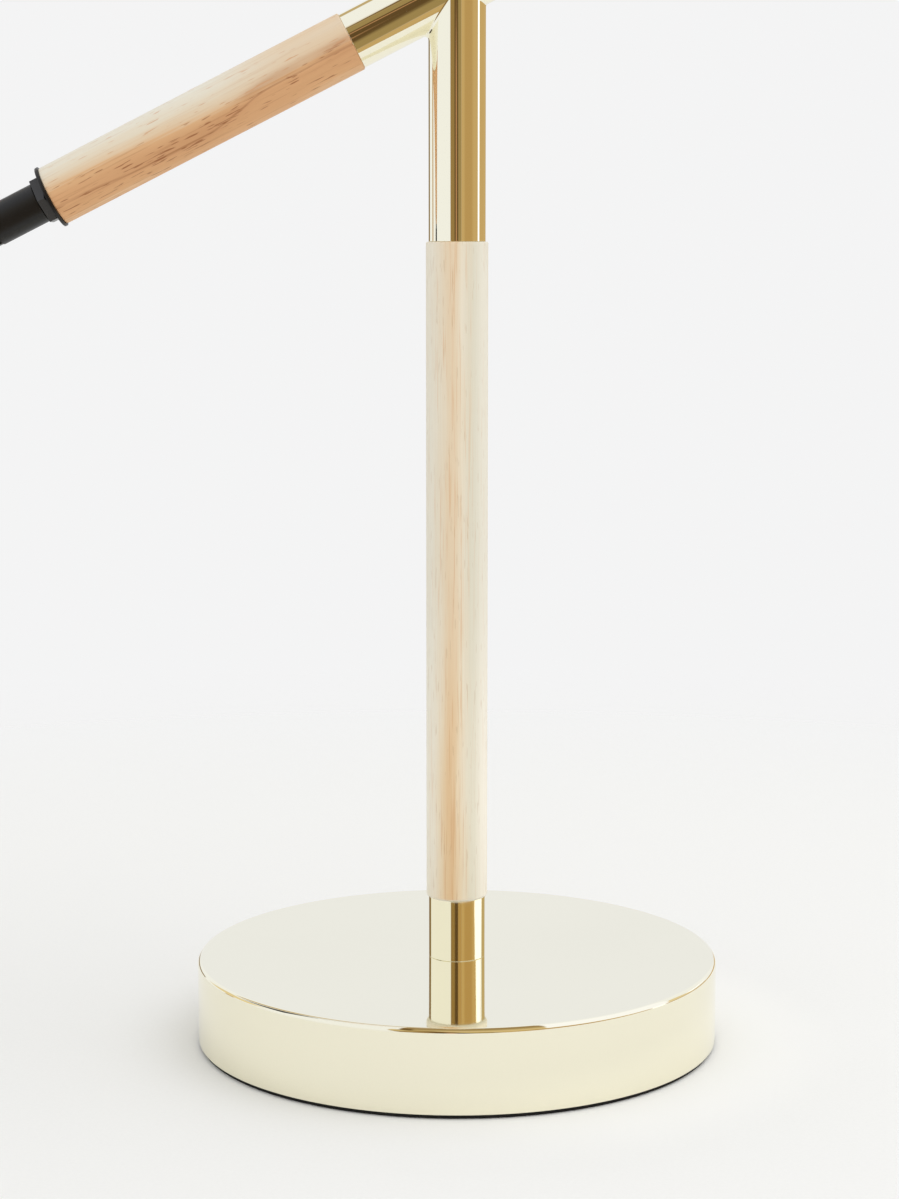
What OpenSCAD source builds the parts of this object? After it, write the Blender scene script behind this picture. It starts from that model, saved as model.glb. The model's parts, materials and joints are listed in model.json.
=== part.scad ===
// Adjustable desk lamp: a weighted gold base, a wood-sleeved column, a fixed sloping arm
// with a second wood sleeve, and a black shade on a swivel that turns and tilts.
// Millimetres, +Z up. The origin is the centre of the base's underside, and the arm
// slopes down towards -X.

/* [Base] */
// Outer diameter of the gold base cover
base_d = 168; // [130:1:220]
// Height of the base cover's wall
base_h = 26.4; // [23:0.2:45]
// Sheet thickness of the base cover
base_wall = 1.2; // [0.8:0.1:2.4]
// Rounding of the cover's top edge
base_edge_r = 1.4; // [0.4:0.1:3]
// Thickness of the pad under the base
pad_t = 1.2; // [0.6:0.1:4]
// How far the pad's rim stands back from the cover
pad_inset = 0.8; // [0.2:0.1:4]
// Diameter of the weight's centre boss
boss_d = 40; // [34:1:60]
// Height under the threaded tube in which the lead turns
lead_room = 9; // [8:0.5:11]
// Bore of the cord inlet in the back wall
inlet_bore = 6.6; // [4:0.1:8]
// Outer diameter of the inlet grommet's flanges
inlet_flange_d = 12.5; // [12:0.1:13]

/* [Terminal block] */
// Width of the terminal block
terminal_w = 19; // [14:0.5:26]
// Depth of the terminal block
terminal_l = 13; // [10:0.5:18]
// Height of the terminal block
terminal_h = 11; // [8:0.5:13]
// Distance from the column axis to the terminal block
terminal_y = 44; // [38:0.5:50]

/* [Column] */
// Outer diameter of the ferrule and of the upper column tube
tube_d = 18; // [16.5:0.1:18.1]
// Wall of the gold tubes
tube_wall = 1.5; // [0.8:0.1:2]
// Height of the gold ferrule between base and wood
ferrule_h = 19.2; // [8:0.2:60]
// Diameter of the column's wood sleeve
column_wood_d = 19.6; // [18:0.1:30]
// Length of the column's wood sleeve
column_wood_h = 210; // [80:1:320]
// Height from the wood up to where the column and arm axes cross
tee_h = 78.4; // [50:0.2:140]

/* [Arm] */
// Slope of the arm below the horizontal, in degrees
arm_angle = 26.9; // [5:0.1:40]
// Outer diameter of the arm tube, which takes the column tube in its side
arm_tube_d = 18.2; // [18.1:0.1:19.6]
// Gold tube from the crossing to the wood sleeve
arm_stub = 36.8; // [32:0.2:80]
// Gold tube past the crossing, at the upper end
tail_len = 32; // [18:0.5:80]
// Height of the dome on the tail cap
tail_dome = 2.4; // [1:0.1:5]
// Diameter of the arm's wood sleeve
arm_wood_d = 19; // [18:0.1:30]
// Length of the arm's wood sleeve
arm_wood_len = 105.2; // [50:0.2:200]
// Diameter of the dark washer at the arm's lower end
end_washer_d = 20.2; // [16:0.1:32]
// Thickness of that washer
end_washer_t = 1; // [0.5:0.1:2]

/* [Threaded tube and nuts] */
// Outer diameter of the hollow threaded tube
rod_d = 10; // [9.4:0.1:10.4]
// Bore of the hollow threaded tube
rod_bore = 7; // [6.2:0.1:8]
// Across flats of the nuts on the threaded tube
nut_af = 14; // [13:0.1:17]
// Thickness of those nuts
nut_t = 3; // [2:0.1:4]
// Length of the threaded bushes in the tee
bush_len = 8; // [5:0.5:12]
// Diameter of the inner lead
lead_d = 5.4; // [4:0.1:6]

/* [Swivel] */
// Diameter of the black swivel cylinder
swivel_d = 12.8; // [12:0.1:18]
// Length of the swivel cylinder
swivel_len = 17; // [14:0.5:40]
// Chamfer on the swivel cylinder's outer end
swivel_chamfer = 0.8; // [0.2:0.1:1.5]
// How far the arm's threaded tube reaches into the swivel
swivel_reach = 10; // [6:0.5:12]
// Distance from the swivel cylinder's end to the tilt axis
pivot_reach = 7.4; // [7:0.1:14]
// Thickness of the swivel's tongue
tongue_t = 5; // [4:0.1:6]
// Radius of the tongue's and the fork's rounded ends
knuckle_r = 6; // [5:0.1:6.4]
// Thickness of each friction washer
friction_t = 0.5; // [0.3:0.1:1]
// Thickness of each fork ear
ear_t = 3.3; // [2.4:0.1:5]
// Diameter of the fork's hub
fork_d = 16; // [15:0.1:24]
// Length of the fork's hub
fork_hub = 9; // [7:0.5:20]
// Diameter of the pivot screw
pivot_d = 4; // [3:0.1:5]
// Head diameter of the pivot screw
pivot_head_d = 7.6; // [6:0.1:9]
// Height of the pivot screw's head
pivot_head_h = 2.6; // [1.5:0.1:4]
// Across flats of the pivot nut
pivot_nut_af = 7; // [6:0.1:8.5]
// Thickness of the pivot nut
pivot_nut_t = 3.2; // [2:0.1:4]

/* [Shade] */
// Slope of the shade's axis below the horizontal at rest, in degrees
head_angle = 50; // [30:1:80]
// Length of the shade from its back to its rim
shade_len = 107.5; // [104:0.5:150]
// Outer diameter of the shade's rim
shade_rim_d = 120; // [105:1:150]
// Diameter of the flat part of the shade's back
shade_back_d = 28; // [24:0.5:36]
// Outer radius of the shade's shoulder
shoulder_r = 12; // [6:0.5:18]
// Sheet thickness of the shade
shade_wall = 1; // [0.6:0.1:1.6]
// Radius of the rolled bead on the rim
bead_r = 1.3; // [1:0.1:2]
// Diameter of the washer between fork and shade
shade_washer_d = 20; // [16:0.5:26]
// Thickness of that washer
shade_washer_t = 1; // [0.5:0.1:2]

/* [Lampholder and bulb] */
// Outer diameter of the lampholder
holder_d = 27; // [24:0.5:30]
// Length of the lampholder's cap
holder_cap_len = 16; // [12:0.5:18]
// Length of the lampholder's body
holder_len = 30; // [27:0.5:32]
// Wall of the lampholder's cap
holder_wall = 1.8; // [1.2:0.1:3]
// Outer diameter of the bulb's screw cap
bulb_cap_d = 13.9; // [12:0.1:15]
// Length of the bulb's screw cap
bulb_cap_len = 22; // [21:0.5:23]
// Thickness of the brass screw shell
shell_t = 0.7; // [0.4:0.1:1]
// Diameter of the bulb's globe
bulb_d = 45; // [38:0.5:48]
// Length of the bulb's glass
bulb_len = 46; // [42:0.5:48]
// Thickness of the bulb's glass
glass_wall = 0.9; // [0.5:0.1:2]

/* [Push switch] */
// Distance along the shade's axis from its back to the switch
switch_along = 31; // [30:0.5:34]
// Outer diameter of the switch's threaded barrel
switch_barrel_d = 10; // [8.5:0.1:10.5]
// Height of the barrel above the shade
switch_barrel_h = 3; // [2.4:0.1:5]
// Diameter of the switch's housing inside the shade
switch_house_d = 13; // [12:0.1:13.5]
// Length of the switch's housing inside the shade
switch_house_len = 10; // [8:0.5:11]
// Diameter of the button
button_d = 7; // [5:0.1:7.6]
// Height of the button above the barrel
button_h = 3; // [2.4:0.1:6]
// Travel of the button
button_travel = 2; // [1:0.1:2.2]

/* [Clearances] */
// Radial clearance of threads, plugs and running fits
running_fit = 0.05; // [0.02:0.01:0.1]
// Radial clearance of the wood sleeves, washers and sheet holes on the threaded tube
slip_fit = 0.3; // [0.1:0.05:0.6]
// Gap between the weight and the cover's wall
weight_gap = 0.4; // [0.2:0.1:1]
// Gap between the swivel and the lock nut
turn_gap = 0.3; // [0.2:0.05:0.6]
// Gap between the tongue and the friction washers
tilt_gap = 0.1; // [0.05:0.05:0.2]

/* [Hidden] */
$fn = 96;
// Overshoot of every cutting tool
cut = 1;
// Heights up the base and the column
cover_z = pad_t;
base_top = cover_z + base_h;
cover_in = base_top - base_wall;
terminal_room = 2.2;
weight_t = base_h - base_wall - terminal_h - terminal_room;
weight_top = cover_z + weight_t;
wood_z = base_top + ferrule_h;
wood_top = wood_z + column_wood_h;
cross_z = wood_top + tee_h;
tube_bore = tube_d - 2 * tube_wall;
arm_tube_bore = arm_tube_d - 2 * tube_wall;
thread_bore = rod_d + 2 * running_fit;
slip_bore = rod_d + 2 * slip_fit;
// Stack under the base: lead room, nut, washer
washer_d = 24;
washer_t = 1.2;
washer_room = 4;
pocket_d = washer_d + washer_room;
base_nut_z = cover_z + lead_room;
pocket_top = base_nut_z + nut_t + washer_t;
rod_tail = 1;
slot_room = 2.6;
slot_bridge = 8;
lead_slot = lead_d + slot_room;
slot_end = terminal_y - slot_bridge;
// Inlet: half the height of the room over the weight
inlet_z = (weight_top + cover_in) / 2;
inlet_lip = 1.2;
inlet_hole = inlet_flange_d - 2 * inlet_lip;
// Stations along the arm, from the crossing
arm_wood_s = arm_stub;
arm_end_s = arm_wood_s + arm_wood_len;
lock_nut_s = arm_end_s + end_washer_t;
swivel_s = lock_nut_s + nut_t + turn_gap;
pivot_s = swivel_s + swivel_len + pivot_reach;
pivot = [-pivot_s * cos(arm_angle), 0, cross_z - pivot_s * sin(arm_angle)];
arm_rod_end = swivel_s + swivel_reach;
// Knuckle: the tongue, two friction washers and two ears, across the tilt axis
slot_w = tongue_t + 2 * (tilt_gap + friction_t);
fork_w = slot_w + 2 * ear_t;
fork_gap = 1.2;
fork_root = knuckle_r + fork_gap;
pivot_bore = pivot_d + 2 * running_fit;
// Stations along the head, from the tilt axis
hub_end = fork_root + fork_hub;
nipple_grip = 6.5;
nipple_proud = 2;
nipple_start = hub_end - nipple_grip;
shade_t = hub_end + shade_washer_t;
shade_nut_t = shade_t + shade_wall;
holder_t = shade_nut_t + nut_t;
nipple_end = holder_t + holder_wall + nipple_proud;
holder_body_t = holder_t + holder_cap_len;
holder_end = holder_body_t + holder_len;
rim_t = shade_t + shade_len;
cap_play = 0.5;
shell_out = bulb_cap_d + cap_play + 2 * shell_t;
contact_h = 2;
cap_sink = 0.6;
contact_t = holder_end - bulb_cap_len - contact_h - cap_sink;
bulb_cap_t = contact_t + contact_h;
bulb_glass_t = bulb_cap_t + bulb_cap_len;
// Shade: a flat back, a shoulder arc and a straight cone that is tangent to the arc
shoulder_c = [shade_back_d / 2, shade_t + shoulder_r];
rim_run = [shade_rim_d / 2 - shoulder_c[0], rim_t - shoulder_c[1]];
shade_half = acos(shoulder_r / norm(rim_run)) - atan2(rim_run[1], rim_run[0]);
cone_n = [cos(shade_half), -sin(shade_half)];
cone_start = shoulder_c + shoulder_r * cone_n;
shoulder_steps = 8;
// Switch: its axis stands square on the cone
switch_t = shade_t + switch_along;
switch_r = cone_start[0] + (switch_t - cone_start[1]) * tan(shade_half);
// Depth at which a flat housing clears the hollow side of the cone
switch_seat = shade_wall + pow(switch_house_d / 2, 2) / (2 * (switch_r - shade_wall)) + slip_fit;
ring_wall = 2.5;
barrel_proud = 0.8;
ring_gap = 0.02;
switch_nut_d = switch_barrel_d + 2 * ring_wall;
switch_nut_h = switch_barrel_h - barrel_proud;
button_bore = button_d + 2 * running_fit;
button_guide = 2;
button_root = button_travel + button_guide;
// Route of the inner lead: out of the terminal block, under the weight, up the column,
// over the crossing and down the arm
lead_z = weight_top + terminal_h / 2;
lead_lift = 0.8;
lead_low = cover_z + lead_d / 2 + lead_lift;
function on_arm(s) = [-s * cos(arm_angle), 0, cross_z - s * sin(arm_angle)];
lead_route = [
    [0, terminal_y, lead_z],
    [0, terminal_y - 5, lead_z - 0.4],
    [0, terminal_y - 12, lead_z - 4],
    [0, terminal_y - 20, lead_low + 5],
    [0, 15, lead_low + 0.6],
    [0, 7, lead_low],
    [0, 1.6, base_nut_z - 3.4],
    [0, 0, base_nut_z + 1],
    [0, 0, base_nut_z + 12],
    [0, 0, wood_z],
    [0, 0, wood_top],
    [0, 0, cross_z - 40],
    [0.4, 0, cross_z - 20],
    [0.4, 0, cross_z - 9],
    [-1.6, 0, cross_z - 2],
    on_arm(8) + [0, 0, 1.4],
    on_arm(16),
    on_arm(arm_stub - bush_len - 2),
    on_arm(arm_stub + 8),
    on_arm(arm_end_s),
    on_arm(arm_rod_end - 1)
];
lead_sides = 8;
lead_steps = 3;

gold = [0.86, 0.76, 0.48];
pale_wood = [0.9, 0.78, 0.58];
tan_wood = [0.85, 0.64, 0.4];
black = [0.09, 0.09, 0.09];
steel = [0.7, 0.7, 0.7];
brass = [0.78, 0.62, 0.3];
cream = [0.93, 0.91, 0.84];

// Places along the arm, the head and the switch

// Local +Z runs down the arm from the crossing, local +X is the arm's upper side
module at_arm(s) {
    translate([0, 0, cross_z])
        rotate([0, -(90 + arm_angle), 0])
            translate([0, 0, s]) children();
}

// Local +Z runs from the tilt axis to the shade's mouth, local +X is the shade's upper side
module at_head(t) {
    translate(pivot)
        rotate([0, -(90 + head_angle), 0])
            translate([0, 0, t]) children();
}

// Local +Z stands out of the cone at the switch, from the shade's outer face
module at_switch(h) {
    at_head(switch_t)
        translate([switch_r, 0, 0])
            rotate([0, 90 + shade_half, 0])
                translate([0, 0, h]) children();
}

// Shapes that repeat

module tube(d, bore, h) {
    difference() {
        cylinder(d = d, h = h);
        translate([0, 0, -cut]) cylinder(d = bore, h = h + 2 * cut);
    }
}

module hex_nut(af, bore, h) {
    difference() {
        cylinder(d = af / cos(30), h = h, $fn = 6);
        translate([0, 0, -cut]) cylinder(d = bore, h = h + 2 * cut);
    }
}

// Plate with one round end, thick across Y; the round end is at the origin
module lug(r, run, thick) {
    rotate([90, 0, 0])
        linear_extrude(height = thick, center = true)
            union() {
                circle(r = r);
                translate([-r, min(0, run)]) square([2 * r, abs(run)]);
            }
}

// Points on a smooth curve through the route, and the tube swept along them
function spline(a, b, c, d, u) = 0.5 * (2 * b + (c - a) * u + (2 * a - 5 * b + 4 * c - d) * u * u
    + (3 * b - a - 3 * c + d) * u * u * u);
function smooth_route(p, steps) = concat(
    [for (i = [0 : len(p) - 2], k = [0 : steps - 1])
        spline(p[max(i - 1, 0)], p[i], p[i + 1], p[min(i + 2, len(p) - 1)], k / steps)],
    [p[len(p) - 1]]);
function unit(v) = v / norm(v);
function run_at(p, i) = unit(p[min(i + 1, len(p) - 1)] - p[max(i - 1, 0)]);

module swept_lead(p, r, sides) {
    rings = [for (i = [0 : len(p) - 1])
        let (t = run_at(p, i), u = unit(cross(t, [1, 1, 0])), v = cross(t, u))
            [for (k = [0 : sides - 1]) p[i] + r * (cos(360 * k / sides) * u + sin(360 * k / sides) * v)]];
    points = [for (ring = rings) each ring];
    last = (len(p) - 1) * sides;
    walls = [for (i = [0 : len(p) - 2], k = [0 : sides - 1])
        let (a = i * sides + k, b = i * sides + (k + 1) % sides)
            each [[a, a + sides, b], [b, a + sides, b + sides]]];
    ends = [for (k = [1 : sides - 2]) each [[0, k, k + 1], [last, last + k + 1, last + k]]];
    polyhedron(points = points, faces = concat(walls, ends), convexity = 6);
}

// Base

module base_cover() {
    r = base_d / 2;
    edge = [for (a = [90 : -10 : 0])
        [r - base_edge_r + base_edge_r * cos(a), base_top - base_edge_r + base_edge_r * sin(a)]];
    color(gold)
        difference() {
            rotate_extrude()
                polygon(concat(
                    [[rod_d / 2 + slip_fit, base_top]],
                    edge,
                    [[r, cover_z], [r - base_wall, cover_z], [r - base_wall, cover_in],
                     [rod_d / 2 + slip_fit, cover_in]]));
            translate([0, r + cut, inlet_z])
                rotate([90, 0, 0]) cylinder(d = inlet_hole, h = base_wall + 2 * cut + pad_inset);
        }
}

module base_weight() {
    r = base_d / 2 - base_wall - weight_gap;
    color([0.32, 0.32, 0.33])
        difference() {
            union() {
                translate([0, 0, cover_z]) cylinder(r = r, h = weight_t);
                translate([0, 0, cover_z]) cylinder(d = boss_d, h = cover_in - cover_z);
            }
            translate([0, 0, cover_z]) cylinder(d = slip_bore, h = base_h);
            translate([0, 0, cover_z - cut]) cylinder(d = pocket_d, h = pocket_top - cover_z + cut);
            translate([-lead_slot / 2, 0, cover_z - cut])
                cube([lead_slot, slot_end, weight_t + cut]);
        }
}

module base_pad() {
    color(black) cylinder(d = base_d - 2 * pad_inset, h = pad_t);
}

module base_washer() {
    color(steel) translate([0, 0, base_nut_z + nut_t]) tube(washer_d, slip_bore, washer_t);
}

module base_nut() {
    color(steel) translate([0, 0, base_nut_z]) hex_nut(nut_af, thread_bore, nut_t);
}

// Rubber grommet with a flange on each side of the cover's wall
module cord_grommet() {
    r = base_d / 2;
    flange_t = 1.6;
    // Depth to which the flat flanges clear the round wall
    wall_bow = pow(inlet_flange_d / 2, 2) / (2 * (r - base_wall)) + 0.1;
    color(black)
        translate([0, r + flange_t, inlet_z])
            rotate([90, 0, 0])
                difference() {
                    union() {
                        cylinder(d = inlet_flange_d, h = flange_t);
                        cylinder(d = inlet_hole - 2 * running_fit, h = 2 * flange_t + base_wall + wall_bow);
                        translate([0, 0, flange_t + base_wall + wall_bow])
                            cylinder(d = inlet_flange_d, h = flange_t);
                    }
                    translate([0, 0, -cut])
                        cylinder(d = inlet_bore, h = 2 * flange_t + base_wall + wall_bow + 2 * cut);
                }
}

screw_pitch = terminal_w / 2;
screw_d = 4;
screw_depth = 4;
screw_sink = 1;

module terminal_block() {
    color(cream)
        difference() {
            translate([-terminal_w / 2, terminal_y, weight_top]) cube([terminal_w, terminal_l, terminal_h]);
            for (side = [-1, 1])
                translate([side * screw_pitch / 2, terminal_y + terminal_l / 2,
                           weight_top + terminal_h - screw_depth])
                    cylinder(d = screw_d + 2 * running_fit, h = screw_depth + cut);
        }
}

module terminal_screws() {
    color(brass)
        for (side = [-1, 1])
            translate([side * screw_pitch / 2, terminal_y + terminal_l / 2,
                       weight_top + terminal_h - screw_depth])
                cylinder(d = screw_d, h = screw_depth - screw_sink);
}

// Column

module column_rod() {
    bottom = base_nut_z - rod_tail;
    color(steel) translate([0, 0, bottom]) tube(rod_d, rod_bore, wood_top + bush_len - bottom);
}

module lower_ferrule() {
    color(gold) translate([0, 0, base_top]) tube(tube_d, tube_bore, ferrule_h);
}

module column_wood() {
    color(pale_wood) translate([0, 0, wood_z]) tube(column_wood_d, slip_bore, column_wood_h);
}

// Welded tee: the upper column tube runs into the side of the arm tube
module tee_joint() {
    color(gold)
        difference() {
            union() {
                translate([0, 0, wood_top]) cylinder(d = tube_d, h = tee_h);
                at_arm(-tail_len) cylinder(d = arm_tube_d, h = tail_len + arm_stub);
            }
            translate([0, 0, wood_top - cut]) cylinder(d = tube_bore, h = tee_h + cut);
            at_arm(-tail_len - cut) cylinder(d = arm_tube_bore, h = tail_len + arm_stub + 2 * cut);
        }
}

module column_bush() {
    color(brass)
        translate([0, 0, wood_top]) tube(tube_bore - 2 * running_fit, thread_bore, bush_len);
}

module arm_bush() {
    color(brass)
        at_arm(arm_stub - bush_len) tube(arm_tube_bore - 2 * running_fit, thread_bore, bush_len);
}

// Domed cap with a plug that sits in the tube's upper end
module tail_cap() {
    plug_len = 6;
    rim_h = 0.8;
    dome_r = (pow(arm_tube_d / 2, 2) + pow(tail_dome, 2)) / (2 * tail_dome);
    dome = [for (k = [8 : -1 : 0])
        let (x = arm_tube_d / 2 * k / 8) [x, rim_h + tail_dome - dome_r + sqrt(dome_r * dome_r - x * x)]];
    color(gold)
        at_arm(-tail_len)
            rotate([180, 0, 0]) {
                rotate_extrude() polygon(concat([[0, 0], [arm_tube_d / 2, 0]], dome));
                translate([0, 0, -plug_len]) cylinder(d = arm_tube_bore - 2 * running_fit, h = plug_len);
            }
}

// Arm

module arm_rod() {
    start = arm_stub - bush_len;
    color(steel) at_arm(start) tube(rod_d, rod_bore, arm_rod_end - start);
}

module arm_wood() {
    color(tan_wood) at_arm(arm_wood_s) tube(arm_wood_d, slip_bore, arm_wood_len);
}

module end_washer() {
    color(black) at_arm(arm_end_s) tube(end_washer_d, slip_bore, end_washer_t);
}

// One corner of the nut faces the front
module lock_nut() {
    color(black) at_arm(lock_nut_s) rotate([0, 0, 30]) hex_nut(nut_af, thread_bore, nut_t);
}

module inner_lead() {
    color([0.85, 0.85, 0.82]) swept_lead(smooth_route(lead_route, lead_steps), lead_d / 2, lead_sides);
}

// Swivel

module swivel_base() {
    socket = swivel_reach + 1;
    color(black)
        difference() {
            union() {
                at_arm(swivel_s) cylinder(d = swivel_d, h = swivel_len - swivel_chamfer);
                at_arm(swivel_s + swivel_len - swivel_chamfer)
                    cylinder(d1 = swivel_d, d2 = swivel_d - 2 * swivel_chamfer, h = swivel_chamfer);
                intersection() {
                    at_arm(pivot_s) lug(knuckle_r, -pivot_reach - swivel_len / 4, tongue_t);
                    at_arm(swivel_s) cylinder(d = swivel_d, h = 2 * swivel_len + pivot_reach + knuckle_r);
                }
            }
            at_arm(swivel_s - cut) cylinder(d = thread_bore, h = socket + cut);
            at_arm(pivot_s) rotate([90, 0, 0]) cylinder(d = pivot_bore, h = swivel_d, center = true);
        }
}

module swivel_fork() {
    color(black)
        difference() {
            union() {
                at_head(fork_root) cylinder(d = fork_d, h = fork_hub);
                intersection() {
                    at_head(0) lug(knuckle_r, fork_root + fork_hub / 2, fork_w);
                    at_head(-knuckle_r - cut) cylinder(d = fork_d, h = knuckle_r + fork_root + fork_hub + cut);
                }
            }
            at_head(0)
                translate([-fork_d / 2, -slot_w / 2, -knuckle_r - cut])
                    cube([fork_d, slot_w, knuckle_r + fork_root + cut]);
            at_head(0) rotate([90, 0, 0]) cylinder(d = pivot_bore, h = 2 * fork_d, center = true);
            at_head(nipple_start) cylinder(d = thread_bore, h = fork_hub + cut);
        }
}

module friction_washers() {
    inset = 0.4;
    color([0.8, 0.78, 0.7])
        for (side = [-1, 1])
            at_head(0)
                translate([0, side * (slot_w - friction_t) / 2, 0])
                    rotate([90, 0, 0])
                        difference() {
                            cylinder(r = knuckle_r - inset, h = friction_t, center = true);
                            cylinder(d = pivot_bore, h = friction_t + 2 * cut, center = true);
                        }
}

module pivot_screw() {
    color(black)
        at_head(0)
            rotate([90, 0, 0]) {
                translate([0, 0, -fork_w / 2 - pivot_nut_t]) cylinder(d = pivot_d, h = fork_w + pivot_nut_t);
                translate([0, 0, fork_w / 2]) cylinder(d = pivot_head_d, h = pivot_head_h);
            }
}

module pivot_nut() {
    color(black)
        at_head(0)
            rotate([90, 0, 0])
                translate([0, 0, -fork_w / 2 - pivot_nut_t]) hex_nut(pivot_nut_af, pivot_bore, pivot_nut_t);
}

// Shade and what clamps it

module nipple() {
    color(steel) at_head(nipple_start) tube(rod_d, rod_bore, nipple_end - nipple_start);
}

module shade_washer() {
    color(black) at_head(hub_end) tube(shade_washer_d, slip_bore, shade_washer_t);
}

// Points of the shade's wall at a depth below its outer face, from the back to the rim
function shade_line(depth) = concat(
    [[rod_d / 2 + slip_fit, shade_t + depth]],
    [for (k = [0 : shoulder_steps])
        let (a = (90 - shade_half) * k / shoulder_steps)
            shoulder_c + (shoulder_r - depth) * [sin(a), -cos(a)]],
    [[shade_rim_d / 2, rim_t] - depth * cone_n]);
function reversed(p) = [for (i = [len(p) - 1 : -1 : 0]) p[i]];

module shade() {
    bead = [shade_rim_d / 2, rim_t] - shade_wall / 2 * cone_n;
    color(black)
        difference() {
            at_head(0) {
                rotate_extrude() polygon(concat(shade_line(0), reversed(shade_line(shade_wall))));
                rotate_extrude() translate(bead) circle(r = bead_r, $fn = 24);
            }
            at_switch(-shade_wall - 2 * cut)
                cylinder(d = switch_barrel_d + 2 * slip_fit, h = shade_wall + 4 * cut);
        }
}

module shade_nut() {
    color(steel) at_head(shade_nut_t) hex_nut(nut_af, thread_bore, nut_t);
}

// Lampholder and bulb

module holder_cap() {
    color(cream)
        at_head(holder_t)
            difference() {
                cylinder(d = holder_d, h = holder_cap_len);
                translate([0, 0, -cut]) cylinder(d = thread_bore, h = holder_wall + 2 * cut);
                translate([0, 0, holder_wall])
                    cylinder(d = holder_d - 2 * holder_wall, h = holder_cap_len);
            }
}

module holder_body() {
    color(cream)
        difference() {
            at_head(holder_body_t) cylinder(d = holder_d, h = holder_len);
            at_head(contact_t) cylinder(d = shell_out + 2 * running_fit, h = holder_len);
        }
}

module screw_shell() {
    start = contact_t + contact_h;
    color(brass) at_head(start) tube(shell_out, shell_out - 2 * shell_t, holder_end - start - 1);
}

module centre_contact() {
    color(brass) at_head(contact_t) cylinder(d = bulb_cap_d / 2, h = contact_h);
}

// Thin screw cap with a narrow tip, open towards the glass
module bulb_cap() {
    tip_h = 3.5;
    tip_d = bulb_cap_d / 2;
    color(steel)
        at_head(bulb_cap_t)
            difference() {
                union() {
                    cylinder(d1 = tip_d, d2 = bulb_cap_d, h = tip_h);
                    translate([0, 0, tip_h]) cylinder(d = bulb_cap_d, h = bulb_cap_len - tip_h);
                }
                translate([0, 0, tip_h]) cylinder(d = bulb_cap_d - 2 * glass_wall, h = bulb_cap_len);
            }
}

// Globe on a short neck, joined by a straight line that is tangent to the globe
function globe_line(depth) =
    let (r = bulb_d / 2 - depth, c = bulb_len - bulb_d / 2, neck = bulb_cap_d / 2 - depth,
         lean = asin(r / norm([neck, c])) - atan2(neck, c))
        concat([[neck, 0]], [for (k = [0 : 20])
            let (a = -lean + (90 + lean) * k / 20) [r * cos(a), c + r * sin(a)]]);

module bulb_glass() {
    color([0.97, 0.97, 0.94])
        at_head(bulb_glass_t)
            rotate_extrude() polygon(concat(globe_line(0), reversed(globe_line(glass_wall))));
}

module head_lead() {
    start = nipple_start + 0.5;
    color([0.85, 0.85, 0.82])
        at_head(start) cylinder(d = lead_d, h = holder_body_t - start);
}

// Push switch

module switch_body() {
    color(black)
        difference() {
            union() {
                at_switch(-switch_seat - switch_house_len)
                    cylinder(d = switch_house_d, h = switch_house_len);
                at_switch(-switch_seat - switch_house_len / 2)
                    cylinder(d = switch_barrel_d, h = switch_house_len / 2 + switch_seat + switch_barrel_h);
            }
            at_switch(switch_barrel_h - button_root - button_travel - 1)
                cylinder(d = button_bore, h = button_root + button_travel + 1 + cut);
        }
}

module switch_nut() {
    color(black) at_switch(ring_gap) tube(switch_nut_d, switch_barrel_d + 2 * running_fit, switch_nut_h);
}

module switch_button() {
    color([0.16, 0.16, 0.16])
        at_switch(switch_barrel_h - button_root) cylinder(d = button_d, h = button_root + button_h);
}

// Twin wire from the switch to the lampholder, ending flush on the holder's side
module switch_lead() {
    wire_d = 3;
    color([0.85, 0.85, 0.82])
        difference() {
            at_switch(-switch_seat - switch_house_len - switch_r) cylinder(d = wire_d, h = switch_r);
            at_head(0) cylinder(d = holder_d, h = rim_t);
            at_head(0) translate([-shade_rim_d, -shade_rim_d / 2, 0]) cube([shade_rim_d, shade_rim_d, rim_t]);
        }
}

base_cover();
base_weight();
base_pad();
base_washer();
base_nut();
cord_grommet();
terminal_block();
terminal_screws();
column_rod();
lower_ferrule();
column_wood();
tee_joint();
column_bush();
arm_bush();
tail_cap();
arm_rod();
arm_wood();
end_washer();
lock_nut();
inner_lead();
swivel_base();
swivel_fork();
friction_washers();
pivot_screw();
pivot_nut();
nipple();
shade_washer();
shade();
shade_nut();
holder_cap();
holder_body();
screw_shell();
centre_contact();
bulb_cap();
bulb_glass();
head_lead();
switch_body();
switch_nut();
switch_button();
switch_lead();
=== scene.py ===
import json
import math

import bmesh
import bpy
from mathutils import Matrix, Vector


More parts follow.
